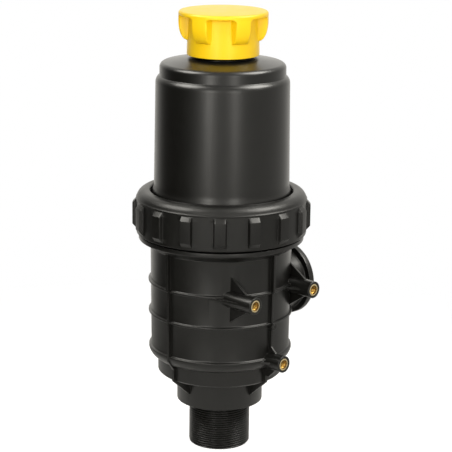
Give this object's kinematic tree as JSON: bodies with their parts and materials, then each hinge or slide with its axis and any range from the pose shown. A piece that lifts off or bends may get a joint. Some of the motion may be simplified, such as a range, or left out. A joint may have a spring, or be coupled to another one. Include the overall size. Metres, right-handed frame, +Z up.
{
  "type": "self-cleaning suction filter",
  "caption": "Upright suction filter for liquids with a threaded lower port, a side port, a ring nut that clamps the cover, and a yellow knob that shuts it off and wipes the mesh.",
  "frame": {"origin": "middle of the footprint, at the level of the lower port's end face; the column's axis stands 5 mm to -X of it", "axes": "+Z up along the column, +X the way the side port points, -Y the way the mounting bosses point"},
  "size_m": [0.1821, 0.1726, 0.4297],
  "materials": {
    "black_body": "satin moulded black plastic",
    "black_cover": "satin moulded black plastic",
    "black_nut": "satin moulded black plastic",
    "yellow_knob": "smooth moulded yellow plastic",
    "brass": "turned, bright",
    "rubber": "matt black rubber",
    "acetal": "natural white",
    "cage_plastic": "dark grey moulded plastic",
    "steel_mesh": "fine woven stainless steel",
    "stainless": "turned stainless steel"
  },
  "bodies": {
    "housing": {"lower_body": "black_body", "insert_upper_left": "brass", "insert_upper_right": "brass", "insert_lower": "brass", "top_cover": "black_cover", "cover_o_ring": "rubber", "gland_bush": "acetal", "stem_o_ring": "rubber", "cartridge_cage": "cage_plastic", "filter_mesh": "steel_mesh", "cartridge_bottom_seal": "rubber", "cartridge_top_seal": "rubber"},
    "nut_carrier": {"slip_ring": "acetal"},
    "nut": {"ring_nut": "black_nut"},
    "plug": {"valve_plug": "acetal", "plug_seal": "rubber"},
    "knob": {"control_knob": "yellow_knob", "knob_seal": "rubber", "knob_pin": "stainless", "valve_stem": "stainless", "carrier_pin": "stainless", "wiper_carrier": "acetal", "wiper_blade_1": "rubber", "wiper_blade_2": "rubber", "plug_washer": "stainless", "plug_nut": "stainless"}
  },
  "joints": [
    {"name": "nut_rise", "type": "slide", "parent": "housing", "child": "nut_carrier", "axis": [0, 0, 1], "range_m": [0, 0.0181]},
    {"name": "nut_turn", "type": "hinge", "parent": "nut_carrier", "child": "nut", "pos_m": [-0.005, 0, 0.236], "axis": [0, 0, 1], "range_deg": [0, 1080]},
    {"name": "plug_rise", "type": "slide", "parent": "housing", "child": "plug", "axis": [0, 0, 1], "range_m": [0, 0.0139]},
    {"name": "knob_turn", "type": "hinge", "parent": "plug", "child": "knob", "pos_m": [-0.005, 0, 0.408], "axis": [0, 0, 1], "range_deg": [0, 2160]}
  ],
  "couplings": [
    {"joint": "nut_rise", "follows": "nut_turn", "m_per_rad": 0.00095493},
    {"joint": "plug_rise", "follows": "knob_turn", "m_per_rad": 0.0003675}
  ]
}
